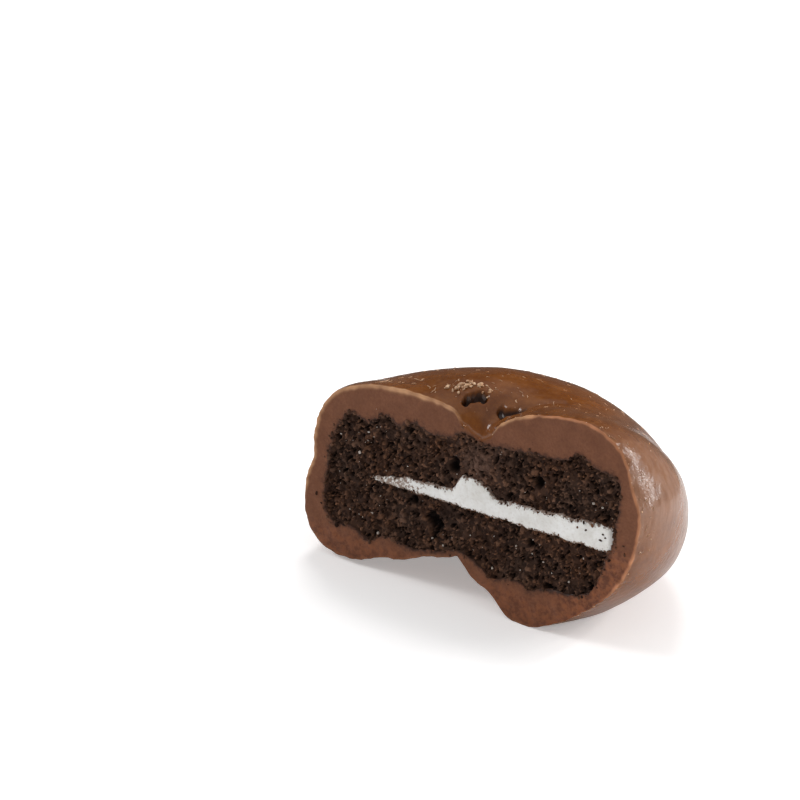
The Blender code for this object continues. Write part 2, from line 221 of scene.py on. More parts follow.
def coat_surface(around, climb):
    """Places on the coating: around is 0 at the right and pi at the left, climb runs from
    -pi/2 under the cookie to pi/2 on top."""
    around, climb = np.broadcast_arrays(around, climb)
    right, back = (1 + np.cos(around)) / 2, np.maximum(np.sin(around), 0.0)
    upper = climb >= 0
    widest = WIDEST_Z_BACK * ease(back * WIDEST_BLEND)
    top = mix(mix(*TOP, right), TOP_BACK + TOP_TILT * (1 - 2 * right), ease(back * TOP_BLEND))
    bottom = mix(*BOTTOM, right)
    square_top = mix(mix(*SQUARE_TOP, right), SQUARE_TOP_BACK, ease(back * SQUARE_BLEND))
    square_top = square_top + SHOULDER * (1 - right) * bell(back, SHOULDER_REACH)
    square_low = mix(mix(*SQUARE_LOW, ease(right)), SQUARE_LOW_BACK, back)
    across, up = superellipse(climb, np.where(upper, square_top, square_low))
    radius = (BODY_RADIUS + BULGE * back ** BULGE_SPREAD) * across
    z = widest + np.where(upper, top - widest, bottom + widest) * up
    corner = bell(back, CORNER_REACH) * ease((right - CORNER_FROM) / CORNER_BLEND) * upper
    z = z + CORNER_RISE * bell(radius - CORNER_RADIUS, CORNER_WIDTH) * corner
    radius = radius - SLIM_DEPTH * bell(z - SLIM_Z, SLIM_HEIGHT) * corner
    waist = bell(z - WAIST_Z, WAIST_HEIGHT) * ease(WAIST_SIDE - 2 * right)
    waist = waist * (1 - WAIST_EASE * ease(back * WAIST_BLEND))
    radius = radius - WAIST_DEPTH * waist * ease(radius / BODY_RADIUS)

    edge = mix(*TOP_DIMPLE, right)
    top_dimple = np.exp(-(np.maximum(radius, 0) / edge) ** DIMPLE_SHARPNESS)
    sink = (top - TOP_DIMPLE_Z) * top_dimple * ease(z / (DIMPLE_FADE * top))
    edge = mix(*BOTTOM_DIMPLE, right)
    wave = SCALLOP_HEIGHT * noise_at(radius, around * SCALLOP_ROUND, SCALLOP_SEED, SCALLOP_SIZE)
    low_dimple = np.maximum(1 - radius / edge, 0.0)
    phase = mix(*FOOT_PHASE, right)
    lobes = np.cos(2 * math.pi * (radius / FOOT_LOBE - phase))
    on_right = FOOT_LOBE_RIGHT * (1 - ease((radius - FOOT_LOBE_END) / FOOT_LOBE_FADE))
    lobes = lobes * mix(FOOT_LOBE_LEFT, on_right, right)
    wave = wave + lobes * (1 - ease(back * FOOT_LOBE_BLEND))
    rise = (bottom + BOTTOM_DIMPLE_Z) * low_dimple + wave * ease(radius / FOOT_CALM)
    z = np.where(upper, z - sink, z + rise * ease(-z / (DIMPLE_FADE * bottom)))

    x, y = radius * np.cos(around) + LEAN * z + LEAN_START, radius * back
    behind = ease(back * LUMP_BLEND)
    z = z + LUMP_HEIGHT * noise_at(x, y, z, LUMP_SIZE) * behind
    for size, height, seed in FINE_LUMPS:
        bump = height * noise_at(x, y, z, size, seed) * behind
        z = z + bump * np.abs(up)
        x = x + bump * np.cos(around) * (1 - np.abs(up))
        y = y + bump * back * (1 - np.abs(up))
    z = np.where(climb > 0, z - top_marks(x, y), z)
    ragged = RAGGED_EDGE * noise_at(x, 0, z, RAGGED_SIZE, seed=17) * bell(y, RAGGED_REACH)
    x, z = x + ragged * across * np.cos(around), z + ragged * up
    fall = np.clip(1 - y / NOTCH_ROUND, 0, 1)
    z = z - NOTCH_ROUND * (1 - np.sqrt(1 - fall ** 2)) * at_notch(x, z)
    return np.stack([x, np.maximum(y, 0.0), np.maximum(z, FLOOR_Z)], -1)


# The filling's outline at the cut

def ridge_height(x, ridges):
    return sum(height * bell(x - middle, RIDGE_WIDTH) for middle, height in ridges)


def filling_top(x):
    return UPPER_TILT * x + UPPER_HIGH + ridge_height(x, UPPER_RIDGES)


def filling_bottom(x):
    dent = BASE_DENT_DEPTH * bell(x - BASE_DENT_X, BASE_DENT_RADIUS)
    return LOWER_TILT * x + LOWER_LOW - ridge_height(x, LOWER_RIDGES) + dent


def filling_place(across, up, margin=0.0):
    """A place on the filling's cut, where its outline is the unit superellipse."""
    left = LEFT_SIDE + LEFT_SLOPE * up - margin
    slope = np.where(up > 0, RIGHT_SLOPE_UP, RIGHT_SLOPE_DOWN)
    x = mix(left, RIGHT_SIDE + slope * up + margin, (across + 1) / 2)
    high, low = filling_top(x) + margin, filling_bottom(x) - margin
    return x, np.where(up > 0, high * up, -low * up)


def filling_outline(angles):
    """The ragged inner edge of the coating, at directions round the cut."""
    x, z = filling_place(*superellipse(angles, FILLING_SQUARE))
    run_x, run_z = np.roll(x, -1) - np.roll(x, 1), np.roll(z, -1) - np.roll(z, 1)
    length = np.hypot(run_x, run_z)
    ragged = layered_noise(x, z, 0, EDGE_WAVES)
    return x + ragged * run_z / length, z - ragged * run_x / length


# Meshes

def add_object(name, data):
    made = bpy.data.objects.new(name, data)
    bpy.context.scene.collection.objects.link(made)
    return made


def make_piece(name, points, faces, attributes=None, smooth=True, second_from=None):
    """An object from points in millimetres and a list of arrays of faces. Faces from the number
    second_from on take the second material."""
    mesh = bpy.data.meshes.new(name)
    sizes = np.concatenate([np.full(len(part), part.shape[1]) for part in faces])
    corners = np.concatenate([part.reshape(-1) for part in faces])
    mesh.vertices.add(len(points))
    mesh.vertices.foreach_set("co", (points * MM + shift).astype(np.float32).reshape(-1))
    mesh.loops.add(len(corners))
    mesh.loops.foreach_set("vertex_index", corners.astype(np.int32))
    mesh.polygons.add(len(sizes))
    starts = np.concatenate([[0], np.cumsum(sizes)[:-1]])
    mesh.polygons.foreach_set("loop_start", starts.astype(np.int32))
    mesh.polygons.foreach_set("use_smooth", np.full(len(sizes), smooth))
    if second_from is not None:
        second = np.arange(len(sizes)) >= second_from
        mesh.polygons.foreach_set("material_index", second.astype(np.int32))
    mesh.update(calc_edges=True)
    mesh.validate()
    for title, values in (attributes or {}).items():
        layer = mesh.attributes.new(title, "FLOAT", "POINT")
        layer.data.foreach_set("value", values.astype(np.float32).reshape(-1))
    return add_object(name, mesh)


def grid_faces(numbers, closed=False):
    """Quads between the rows of a table of point numbers."""
    if closed:
        numbers = np.concatenate([numbers, numbers[:, :1]], 1)
    ring = numbers[:-1, :-1], numbers[:-1, 1:], numbers[1:, 1:], numbers[1:, :-1]
    return np.stack(ring, -1).reshape(-1, 4)


def fan_faces(middle, loop, closed=True):
    fan = np.stack([np.full(len(loop), middle), loop, np.roll(loop, -1)], -1)
    return fan if closed else fan[:-1]


def swept_back(loop, depth, middle_x):
    """Copies of a loop behind the cut, narrowing to half a disc and sinking to the back."""
    rows = []
    for angle in CAVITY_ANGLES:
        y = depth * math.sin(angle)
        x = middle_x + (loop[:, 0] - middle_x) * math.cos(angle)
        z = loop[:, 2] * mix(1.0, math.cos(angle), BACK_FLATTEN) - BACK_TILT * y
        rows.append(np.stack([x, np.full(len(x), y), z], -1))
    return rows


class Builder:
    """Collects rows of points and the faces between them."""

    def __init__(self):
        self.points, self.faces, self.marks, self.count = [], [], {}, 0

    def add(self, points, **marks):
        points = np.asarray(points, float)
        flat = points.reshape(-1, 3)
        numbers = np.arange(self.count, self.count + len(flat)).reshape(points.shape[:-1])
        self.points.append(flat)
        self.count += len(flat)
        for title in set(marks) | set(self.marks):
            earlier = self.marks.setdefault(title, [])
            held = sum(len(part) for part in earlier)
            if held < self.count - len(flat):
                earlier.append(np.zeros(self.count - len(flat) - held))
            values = np.broadcast_to(marks.get(title, 0.0), points.shape[:-1])
            earlier.append(np.array(values, float).reshape(-1))
        return numbers

    def finish(self, name, **settings):
        marks = {title: np.concatenate(parts) for title, parts in self.marks.items()}
        return make_piece(name, np.concatenate(self.points), self.faces, marks, **settings)


# The skin, the cut ring and the cavity, as one closed mesh

def skin_angles():
    even = np.linspace(0, 1, SKIN_COLUMNS)
    around = math.pi * (even - SKIN_CROWDING * np.sin(2 * math.pi * even) / (2 * math.pi))
    low = np.linspace(-math.pi / 2, HIGH_ROWS_FROM, SKIN_ROWS_LOW, endpoint=False)
    high = np.linspace(HIGH_ROWS_FROM, math.pi / 2, SKIN_ROWS_HIGH)
    return around, np.concatenate([low, high])


def rim_keenness(x, z):
    """How plain the pale broken edge of the coating is, round the cut: widest on the two lobes, gone in
    the notch between them and along the foot. Its paleness is partly broken glaze and partly a painted
    highlight."""
    keen = RIM_PLAIN
    for size, strength, seed in RIM_WAVES:
        keen = keen + strength * noise_at(x, z, 0, size, seed)
    keen = np.clip(keen, RIM_LEAST, 1)
    keen = keen * mix(1.0, RIM_RIGHT, ease((x - RIM_RIGHT_X) / RIM_RIGHT_BLEND))
    keen = keen * mix(RIM_FOOT, 1.0, ease((z - RIM_FOOT_Z) / RIM_FOOT_BLEND))
    return keen * (1 - RIM_NOTCH * at_notch(x, z))


def rim_warmth(x):
    """The broken edge, partly a painted highlight, is pale on the left and redder brown on the right.
    """
    return ease((x - RIM_WARM_X) / RIM_WARM_BLEND)


def add_skin(build):
    """The skin. Returns the numbers of the points round the cut, up the right side from the foot
    and down the left, and their directions."""
    around, climb = skin_angles()
    surface = coat_surface(around[None, :], climb[:, None])
    x, y, z = np.moveaxis(surface[1:-1], -1, 0)
    # painted shade in the pit, the slit and the crease
    marked = np.clip(top_marks(x, y) / MARK_FULL, 0, 1)
    on_top = (climb[1:-1, None] > TOP_FROM) * ease((marked - MARK_FROM) / MARK_BLEND)
    turn = np.degrees(climb[1:-1, None])
    # painted greyish sheen round the side, fading out on top and towards the foot
    bloom = ease((PAINTED_SHEEN_TOP - turn) / PAINTED_SHEEN_BLEND)
    bloom = bloom * ease((turn - PAINTED_SHEEN_FOOT) / PAINTED_SHEEN_BLEND)
    body = build.add(surface[1:-1], rim=bell(y, RIM_GLOW) * rim_keenness(x, z), pitted=on_top,
                     bloom=bloom, warm=rim_warmth(x))
    foot, peak = (build.add(surface[row, :1])[0] for row in (0, -1))
    build.faces += [grid_faces(body), fan_faces(foot, body[0, ::-1], closed=False),
                    fan_faces(peak, body[-1], closed=False)]
    rim = np.concatenate([[foot], body[:, 0], [peak], body[::-1, -1]])
    return rim, np.concatenate([climb, math.pi - climb[-2:0:-1]])


def ring_steps(width):
    """Distances in from the skin, fine at the broken edge and then even up to the filling."""
    share = RIM_SHARE / len(RIM_STEPS)
    steps = [np.minimum(step, width * share * (number + 1)) for number, step in enumerate(RIM_STEPS)]
    even = [mix(steps[-1], width, number / RING_STEPS) for number in range(1, RING_STEPS + 1)]
    return steps + even


def smeared(x, z):
    """Where the knife smeared the cut coating: low on the right, and along the foot."""
    wet = ease((x - WET_X) / WET_X_BLEND) * ease((WET_Z - z) / WET_Z_BLEND)
    return np.maximum(wet, WET_FOOT * ease((WET_FOOT_Z - z) / WET_FOOT_BLEND))


def add_ring(build, rim, inner_x, inner_z):
    """The cut face of the coating, from the rim in to the filling. Returns its last row."""
    outer = np.concatenate(build.points)[rim]
    width = np.hypot(inner_x - outer[:, 0], inner_z - outer[:, 2])
    notch = at_notch(outer[:, 0], outer[:, 2])
    keen = rim_keenness(outer[:, 0], outer[:, 2])
    rows = [rim]
    for step in ring_steps(width):
        x = mix(outer[:, 0], inner_x, step / width)
        z = mix(outer[:, 2], inner_z, step / width)
        warm, wet = rim_warmth(x), smeared(x, z)
        line_width = (RIM_WIDTH + RIM_WIDTH_PLAIN * keen) * (1 - RIM_WARM_THIN * warm)
        y = -RIM_RISE * bell(step - RIM_RISE_AT, RIM_RISE_AT) * keen
        for size, height, seed, calm in CUT_WAVES:
            y += height * noise_at(x, z, 0, size, seed) * ease(step / calm)
        y += wet * layered_noise(x, z, 0, WET_WAVES)
        rows.append(build.add(np.stack([x, y, z], -1), wet=wet, warm=warm,
                              rim=keen * np.exp(-(step / line_width) ** 4),
                              cut=ease(step / (SKIN_EDGE + SKIN_EDGE_NOTCH * notch)),
                              smudge=np.exp(-((width - step) / SMUDGE_WIDTH) ** 1.2)))
    build.faces.append(grid_faces(np.stack(rows), closed=True))
    return rows[-1]


def coating_piece():
    build = Builder()
    rim, angles = add_skin(build)
    skin_faces = sum(len(part) for part in build.faces)
    inner_x, inner_z = filling_outline(angles)
    walls = [add_ring(build, rim, inner_x, inner_z)]
    inner = np.stack([inner_x, np.zeros(len(inner_x)), inner_z], -1)
    for row in swept_back(inner, FILLING_DEPTH, FILLING_MIDDLE):
        walls.append(build.add(row, cut=1.0))
    build.faces.append(grid_faces(np.stack(walls), closed=True))
    end_z = CAVITY_END_Z - BACK_TILT * FILLING_DEPTH
    end = build.add(np.array([[FILLING_MIDDLE, FILLING_DEPTH, end_z]]))[0]
    build.faces.append(fan_faces(end, walls[-1]))
    return build.finish("coating_skin", second_from=skin_faces)


# Crumb

class Crumb:
    """The broken surface of both wafers, as a raster of depths and tones over the cut."""

    def __init__(self):
        self.draw = np.random.default_rng(41)
        self.x = np.arange(RASTER_LOW[0], RASTER_HIGH[0], RASTER_STEP)
        self.z = np.arange(RASTER_LOW[1], RASTER_HIGH[1], RASTER_STEP)
        across, up = np.meshgrid(self.x, self.z)
        every = COARSE_CELLS
        swell = noise_at(across[::every, ::every], up[::every, ::every], 0, SWELL_SIZE, seed=21)
        swell = np.kron(swell, np.ones((every, every)))[:across.shape[0], :across.shape[1]]
        self.depth = CRUMB_DEPTH - SWELL_HEIGHT * swell
        self.tone = np.full(across.shape, CRUMB_TONE)
        self.smear = bell(across - SMEAR_X, SMEAR_WIDTH) * bell(up - SMEAR_Z, SMEAR_HEIGHT)

    def window(self, x, z, radius, turn=0.0, stretch=1.0):
        """The part of the raster round a place, and how far away each cell is: turned and
        stretched, the distance makes an oval."""
        reach = int(radius * stretch / RASTER_STEP) + 1
        i, j = (round((place - start) / RASTER_STEP) for place, start in zip((x, z), RASTER_LOW))
        cols, rows = (slice(max(n - reach, 0), max(n + reach + 1, 0)) for n in (i, j))
        across, up = self.x[None, cols] - x, self.z[rows, None] - z
        along = (across * math.cos(turn) + up * math.sin(turn)) / stretch
        aside = up * math.cos(turn) - across * math.sin(turn)
        return rows, cols, np.hypot(along, aside)

    def grains(self, count, smallest, largest, front, spread, strength):
        """Round grains that stand out of what is behind them, each with a tone of its own."""
        places = self.draw.uniform(RASTER_LOW, RASTER_HIGH, (count, 2))
        radii = mix(smallest, largest, self.draw.random(count) ** 2)
        fronts = front + spread * self.draw.standard_normal(count)
        tones = strength * self.draw.random(count) ** 1.8
        turns = self.draw.uniform(0, math.pi, count)
        for (x, z), radius, face, tone, turn in zip(places, radii, fronts, tones, turns):
            rows, cols, away = self.window(x, z, radius, turn, self.draw.uniform(1.0, 2.0))
            calm = 1 - 0.6 * self.smear[rows, cols]
            cap = face + (radius - np.sqrt(np.maximum(radius ** 2 - away ** 2, 0))) * calm
            nearer = (away < radius) & (cap < self.depth[rows, cols])
            self.depth[rows, cols][nearer] = cap[nearer]
            self.tone[rows, cols][nearer] = tone

    def pit(self, x, z, radius, deep, turn=0.0, stretch=1.0):
        """A hole, with painted shade that darkens its tone."""
        rows, cols, away = self.window(x, z, radius * 1.6, turn, stretch)
        hollow = np.exp(-(away / radius) ** 4)
        self.depth[rows, cols] = np.maximum(self.depth[rows, cols], PIT_FRONT + deep * hollow)
        # painted shade in the hole
        self.tone[rows, cols] *= 1 - 0.9 * hollow

    def pores(self, count, smallest, largest, deep):
        for x, z in self.draw.uniform(RASTER_LOW, RASTER_HIGH, (count, 2)):
            self.pit(x, z, mix(smallest, largest, self.draw.random() ** 2), deep,
                     self.draw.uniform(0, math.pi), self.draw.uniform(1.0, 2.2))

    def read(self, field, x, z):
        i, j = (x - self.x[0]) / RASTER_STEP, (z - self.z[0]) / RASTER_STEP
        i0 = np.clip(i.astype(int), 0, len(self.x) - 2)
        j0 = np.clip(j.astype(int), 0, len(self.z) - 2)
        u, v = np.clip(i - i0, 0, 1), np.clip(j - j0, 0, 1)
        low = mix(field[j0, i0], field[j0, i0 + 1], u)
        high = mix(field[j0 + 1, i0], field[j0 + 1, i0 + 1], u)
        return mix(low, high, v)


# The larger holes: their places and radii.
VOIDS = ((-1.7, 1.9, 0.4), (-1.6, 2.35, 0.32), (-3.5, -2.6, 0.5), (-3.0, -2.9, 0.35),
         (-5.1, -1.6, 0.3), (5.5, 2.9, 0.4), (4.9, -1.9, 0.3), (6.5, -4.9, 0.35))


def broken_crumb():
    crumb = Crumb()
    crumb.grains(count=600, smallest=0.25, largest=0.5, front=0.22, spread=0.08, strength=0.25)
    crumb.pores(count=700, smallest=0.10, largest=0.24, deep=0.5)
    crumb.grains(count=4200, smallest=0.07, largest=0.20, front=0.18, spread=0.09, strength=0.7)
    crumb.pores(count=800, smallest=0.05, largest=0.12, deep=0.4)
    crumb.grains(count=5200, smallest=0.04, largest=0.08, front=0.15, spread=0.09, strength=1.0)
    for x, z, radius in VOIDS:
        crumb.pit(x, z, radius, VOID_DEPTH)
    return crumb


def cream_low(x):
    return CREAM_LOW + CREAM_LOW_TILT * x + layered_noise(x, 0, 0, CREAM_LOW_WAVES)


def cream_high(x):
    bump = BUMP_HEIGHT * np.exp(-(np.abs(x - BUMP_X) / BUMP_WIDTH) ** BUMP_SQUARE)
    bump = bump * (1 - BUMP_SLOPE * (x - BUMP_X) / BUMP_WIDTH)
    full = CREAM_HIGH + CREAM_HIGH_TILT * x + bump + layered_noise(x, 0, 0, CREAM_HIGH_WAVES)
    taper = np.clip((x - CREAM_TIP) / CREAM_TAPER, 0, 1) ** CREAM_BLUNT
    return cream_low(x) + (full - cream_low(x)) * taper


def add_body(build, front, depth, middle_x, under=False, **marks):
    """The faces of a grid of points at the cut, and a plain body that closes it behind. Under is
    for a grid whose rows run downwards."""
    loop = np.concatenate([front[0, :-1], front[:-1, -1], front[-1, :0:-1], front[:0:-1, 0]])
    placed = np.concatenate(build.points)[loop]
    walls = [loop] + [build.add(row, **marks) for row in swept_back(placed, depth, middle_x)]
    middle = np.concatenate(build.points)[walls[-1]].mean(0)
    end = build.add(middle[None, :], **marks)[0]
    parts = [grid_faces(front)[:, ::-1], grid_faces(np.stack(walls), closed=True),
             fan_faces(end, walls[-1])]
    build.faces += [part if under else part[:, ::-1] for part in parts]


def wafer_piece(name, crumb, upper):
    """A broken wafer: the crumb at the cut and a plain half disc behind it."""
    across = np.linspace(-CRUMB_END, CRUMB_END, CRUMB_COLUMNS)[None, :]
    up = np.linspace(0, 1, CRUMB_ROWS)[:, None] * (1 if upper else -1)
    most = (1 - np.abs(across) ** FILLING_SQUARE) ** (1 / FILLING_SQUARE)
    x, _ = filling_place(across, up * most, UNDER_COAT)
    seam = cream_high(x) - CREAM_OVERLAP if upper else cream_low(x) + CREAM_OVERLAP
    seam = np.where(x < CREAM_TIP, SEAM_Z, seam)
    edge = filling_top(x) + UNDER_COAT if upper else filling_bottom(x) - UNDER_COAT
    z = mix(seam, edge, np.abs(up * most))
    jolt_x = x + CRUMB_JOLT * noise_at(x, 0.0, z, CRUMB_JOLT_SIZE, seed=61)
    jolt_z = z + CRUMB_JOLT * noise_at(x, 0.0, z, CRUMB_JOLT_SIZE, seed=71)
    depth = crumb.read(crumb.depth, jolt_x, jolt_z)
    rim = bell((1 - np.abs(up)) * np.abs(edge - seam), CRUMB_EDGE_WIDTH)
    depth = np.maximum(depth * (1 - CRUMB_EDGE * rim), CRUMB_LEAST)
    build = Builder()
    # deep marks painted shade: the deeper the crumb lies, the darker
    front = build.add(np.stack([x, depth, z], -1), tone=crumb.read(crumb.tone, jolt_x, jolt_z),
                      deep=np.clip((depth - DEEP_FROM) / DEEP_RANGE, 0, 1),
                      smear=crumb.read(crumb.smear, x, z))
    add_body(build, front, FILLING_DEPTH, FILLING_MIDDLE, under=not upper, tone=WALL_TONE)
    return build.finish(name)


def cream_piece():
    x = np.linspace(CREAM_TIP + 0.02, CREAM_RIGHT, CREAM_COLUMNS)[None, :]
    up = np.linspace(0, 1, CREAM_ROWS)[:, None]
    low, high = cream_low(x), cream_high(x)
    x, z = np.broadcast_arrays(x, mix(low, high, up))
    edge = np.minimum(up, 1 - up) * np.maximum(high - low, 0.05)
    y = CREAM_SINK * np.exp(-(edge / CREAM_SINK_WIDTH) ** 1.3) + CREAM_FRONT
    y = y + layered_noise(x, z, 0, CREAM_WAVES)
    y = y + TIP_SINK * ease((CREAM_TIP + TIP_LENGTH - x) / TIP_LENGTH)
    y = y + END_SINK * ease((x - CREAM_RIGHT + END_FROM) / END_LENGTH)
    soiled = SOILED_EDGE * np.exp(-(edge / SOILED_WIDTH) ** 1.2)
    thin_end = ease((CREAM_TIP + SOILED_REACH - x) / SOILED_BLEND)
    build = Builder()
    front = build.add(np.stack([x, y, z], -1), soiled=np.maximum(soiled, SOILED_TIP * thin_end))
    add_body(build, front, CREAM_DEPTH, CREAM_MIDDLE)
    return build.finish("cream_fill")


# Small things that lie on the cookie, one joined mesh for each kind

CREAM_CRUMBS = ((9.0, 1.2), (9.0, 0.7), (9.5, 1.2), (9.7, 0.7), (10.2, 1.2), (10.4, 1.6), (11.1, 0.8),
                (11.3, 0.6), (10.9, 0.3), (11.4, 1.5))
CREAM_CRUMB_RADII = 0.08, 0.13
EDGE_CRUMBS, EDGE_RADII, EDGE_REACH, EDGE_START = 120, (0.05, 0.15), 0.16, -0.05  # round the filling
SEAM_CRUMBS, SEAM_RADII, SEAM_IN, SEAM_SPREAD = 110, (0.03, 0.08), 0.12, 0.07  # along the cream
SUGAR_PLACES = ((-9.1, 2.4), (-9.9, 0.6), (-11.5, 1.6), (-7.5, -2.3), (-8.8, -3.8), (-8.3, -5.2),
                (-2.6, -4.4), (-3.5, -4.1), (-4.5, -1.6), (-2.8, 4.4), (1.7, -4.8), (8.2, -3.8),
                (9.3, -1.7), (6.1, -2.9), (3.7, -2.5), (10.2, 2.8), (10.8, 2.6))
SUGAR_RADII, FINE_RADII = (0.06, 0.12), (0.025, 0.055)
FINE_SUGAR, FINE_X, FINE_Z = 90, (-12, 12), (-5, 5)


def lump_shape(fineness):
    """Points and faces of a ball of unit radius."""
    shape = bmesh.new()
    bmesh.ops.create_icosphere(shape, subdivisions=fineness, radius=1.0)
    points = np.array([corner.co[:] for corner in shape.verts])
    faces = np.array([[corner.index for corner in face.verts] for face in shape.faces])
    shape.free()
    return points, faces


def scattered_lumps(name, places, radii, draw, uneven, fineness=2, smooth=True):
    """Uneven grains at the given places."""
    shape, faces = lump_shape(fineness)
    build = Builder()
    for place, radius in zip(places, radii):
        stretch = 1 + uneven * draw.uniform(-1, 1, 3)
        bumps = 1 + uneven * 0.6 * noise_at(*(shape * 1.3 + draw.uniform(0, 50, 3)).T, 1.0)
        numbers = build.add(place + shape * radius * stretch * bumps[:, None], tone=0.7 * draw.random())
        build.faces.append(numbers[faces])
    return build.finish(name, smooth=smooth)


def loose_crumbs():
    """Dark crumbs smeared over the cream and the cut coating."""
    draw = np.random.default_rng(7)
    places = [(x, -0.02, z) for x, z in CREAM_CRUMBS]
    radii = list(draw.uniform(*CREAM_CRUMB_RADII, len(places)))
    angles = draw.uniform(0, 2 * math.pi, EDGE_CRUMBS)
    for x, z in zip(*filling_outline(np.sort(angles))):
        away = draw.exponential(EDGE_REACH) + EDGE_START
        spread = 1 + away / math.hypot(x, z)
        places.append((x * spread, 0.0, z * spread))
        radii.append(draw.uniform(*EDGE_RADII))
    for x in draw.uniform(CREAM_TIP, CREAM_RIGHT, SEAM_CRUMBS):
        low = draw.random() < 0.5
        edge = cream_low(np.array(x)) + SEAM_IN if low else cream_high(np.array(x)) - SEAM_IN
        places.append((x, 0.04, float(edge) + draw.normal(0, SEAM_SPREAD)))
        radii.append(draw.uniform(*SEAM_RADII))
    return scattered_lumps("loose_crumbs", np.array(places), radii, draw, uneven=0.65)


def sugar_grains(crumb):
    """Pale grains of sugar in the broken crumb."""
    draw = np.random.default_rng(19)
    spots = list(SUGAR_PLACES)
    sizes = list(draw.uniform(*SUGAR_RADII, len(spots)))
    for _ in range(FINE_SUGAR):
        spots.append((draw.uniform(*FINE_X), draw.uniform(*FINE_Z)))
        sizes.append(draw.uniform(*FINE_RADII))
    x, z = np.array(spots).T
    depth = crumb.read(crumb.depth, x, z)
    places = np.stack([x, np.maximum(depth - 0.03, 0.0), z], -1)
    return scattered_lumps("sugar_grains", places, sizes, draw, uneven=0.3, fineness=1, smooth=False)


def skin_frame(around, climb):
    """Places on the skin, the two directions along it for each radian, and the way out."""
    nudge = 0.004
    here = coat_surface(around, climb)
    side = (coat_surface(around + nudge, climb) - coat_surface(around - nudge, climb)) / (2 * nudge)
    rise = (coat_surface(around, climb + nudge) - coat_surface(around, climb - nudge)) / (2 * nudge)
    out = np.cross(side, rise)
    return here, side, rise, out / np.linalg.norm(out, axis=-1, keepdims=True)


def sliver(build, middle, heading, length, width, lift, draw):
    """A thin closed sliver that lies along the skin, its middle at two angles in degrees."""
    around, climb = math.radians(middle[0]), math.radians(middle[1])
    _, side, rise, _ = skin_frame(np.array([around]), np.array([climb]))
    share = np.linspace(-0.5, 0.5, 9)
    bend = draw.uniform(-0.35, 0.35) * (share ** 2 * 4 - 0.5)
    run = length * share
    drift = length * bend + width * draw.normal(0, 0.25, len(share))
    along = run * math.cos(heading) - drift * math.sin(heading)
    upward = run * math.sin(heading) + drift * math.cos(heading)
    here, _, _, out = skin_frame(around + along / np.linalg.norm(side),
                                 climb + upward / np.linalg.norm(rise))
    path = here + out * (lift + 0.6 * lift * draw.random(len(share))[:, None])
    travel = np.gradient(path, axis=0)
    across = np.cross(travel, out)
    across /= np.maximum(np.linalg.norm(across, axis=-1, keepdims=True), 1e-9)
    slim = np.sqrt(np.cos(math.pi * share * 0.97))[:, None] * draw.uniform(0.6, 1.3, (len(share), 1))
    half, thick = width / 2 * slim, (0.25 * width + 0.012) * slim
    ring = np.stack([path + across * half, path + out * thick, path - across * half,
                     path - out * thick], 1)
    numbers = build.add(ring, tone=draw.random())
    build.faces.append(grid_faces(numbers, closed=True)[:, ::-1])
    build.faces.append(numbers[0][None, :])
    build.faces.append(numbers[-1][None, ::-1])


# Clusters of flakes: direction and climb on the skin in degrees, and how many.
FLAKES = ((159, 72.5, 14), (155, 75.5, 34), (148, 76.5, 30), (136, 78.5, 12), (122, 80.5, 10))
FLAKE_SPREAD_ROUND, FLAKE_SPREAD_UP = 3.2, 0.8
RIM_FLAKES, RIM_FLAKE_ANGLES = 90, (-42, 100)  # pale crumbs of chocolate along the cut's rim, their paleness partly painted glints
# Scratches: direction and climb on the skin in degrees, heading in radians and length.
SCRATCHES = ((173.8, 53.3, 0.1, 1.3), (172.5, 55.0, 0.5, 0.7), (163.8, 59.4, 1.5, 0.7),
             (162.8, 61.0, 0.2, 0.5), (167.9, 67.0, 1.2, 0.6), (169.5, 69.5, 0.4, 0.8),
             (153.7, 53.3, 0.8, 0.25))
SCRATCH_WIDTH, SCRATCH_LIFT = 0.07, 0.01
# Threads on top and by the rim: how many, ranges of direction and climb, heading and its spread,
# range of lengths, and how far they lie off the skin.
THREADS = ((110, (15, 172), (35, 82), 0.0, 0.4, (0.06, 0.4), 0.003),
           (40, (1.0, 6), (0, 56), 1.5, 0.6, (0.06, 0.3), 0.012))
THREAD_WIDTHS = 0.02, 0.05


def pale_flakes():
    """Broken bits of paler chocolate by the pit, and a few more round the notch and along the cut's
    rim, where their paleness is partly painted glints.
    """
    draw = np.random.default_rng(23)
    places, radii = [], []
    for around, climb, count in FLAKES:
        turns = np.radians(around + draw.normal(0, FLAKE_SPREAD_ROUND, count))
        climbs = np.radians(climb + draw.normal(0, FLAKE_SPREAD_UP, count))
        here, _, _, out = skin_frame(turns, climbs)
        places.append(here + out * draw.uniform(-0.02, 0.10, (count, 1)))
        radii.append(0.035 + 0.10 * draw.random(count) ** 2)
    # pale flakes along the rim: partly crumbs, partly painted glints
    angles = np.radians(draw.uniform(*RIM_FLAKE_ANGLES, RIM_FLAKES))
    on_left = angles > math.pi / 2
    turns = np.where(on_left, math.pi, 0.004) + draw.uniform(0, 0.012, RIM_FLAKES)
    here, _, _, out = skin_frame(turns, np.where(on_left, math.pi - angles, angles))
    places.append(here - out * draw.uniform(0.0, 0.1, (RIM_FLAKES, 1)))
    radii.append(0.02 + 0.05 * draw.random(RIM_FLAKES) ** 2)
    return scattered_lumps("pale_flakes", np.concatenate(places), np.concatenate(radii), draw,
                           uneven=0.6, fineness=1, smooth=False)


def pale_marks():
    """Fine scratches and threads of paler chocolate on the skin."""
    draw = np.random.default_rng(29)
    build = Builder()
    for around, climb, heading, length in SCRATCHES:
        sliver(build, (around, climb), heading, length, SCRATCH_WIDTH, SCRATCH_LIFT, draw)
    for count, turns, climbs, heading, spread, lengths, lift in THREADS:
        for _ in range(count):
            middle = draw.uniform(*turns), draw.uniform(*climbs)
            sliver(build, middle, draw.normal(heading, spread), draw.uniform(*lengths),
                   draw.uniform(*THREAD_WIDTHS), lift, draw)
    return build.finish("pale_marks")


# Materials

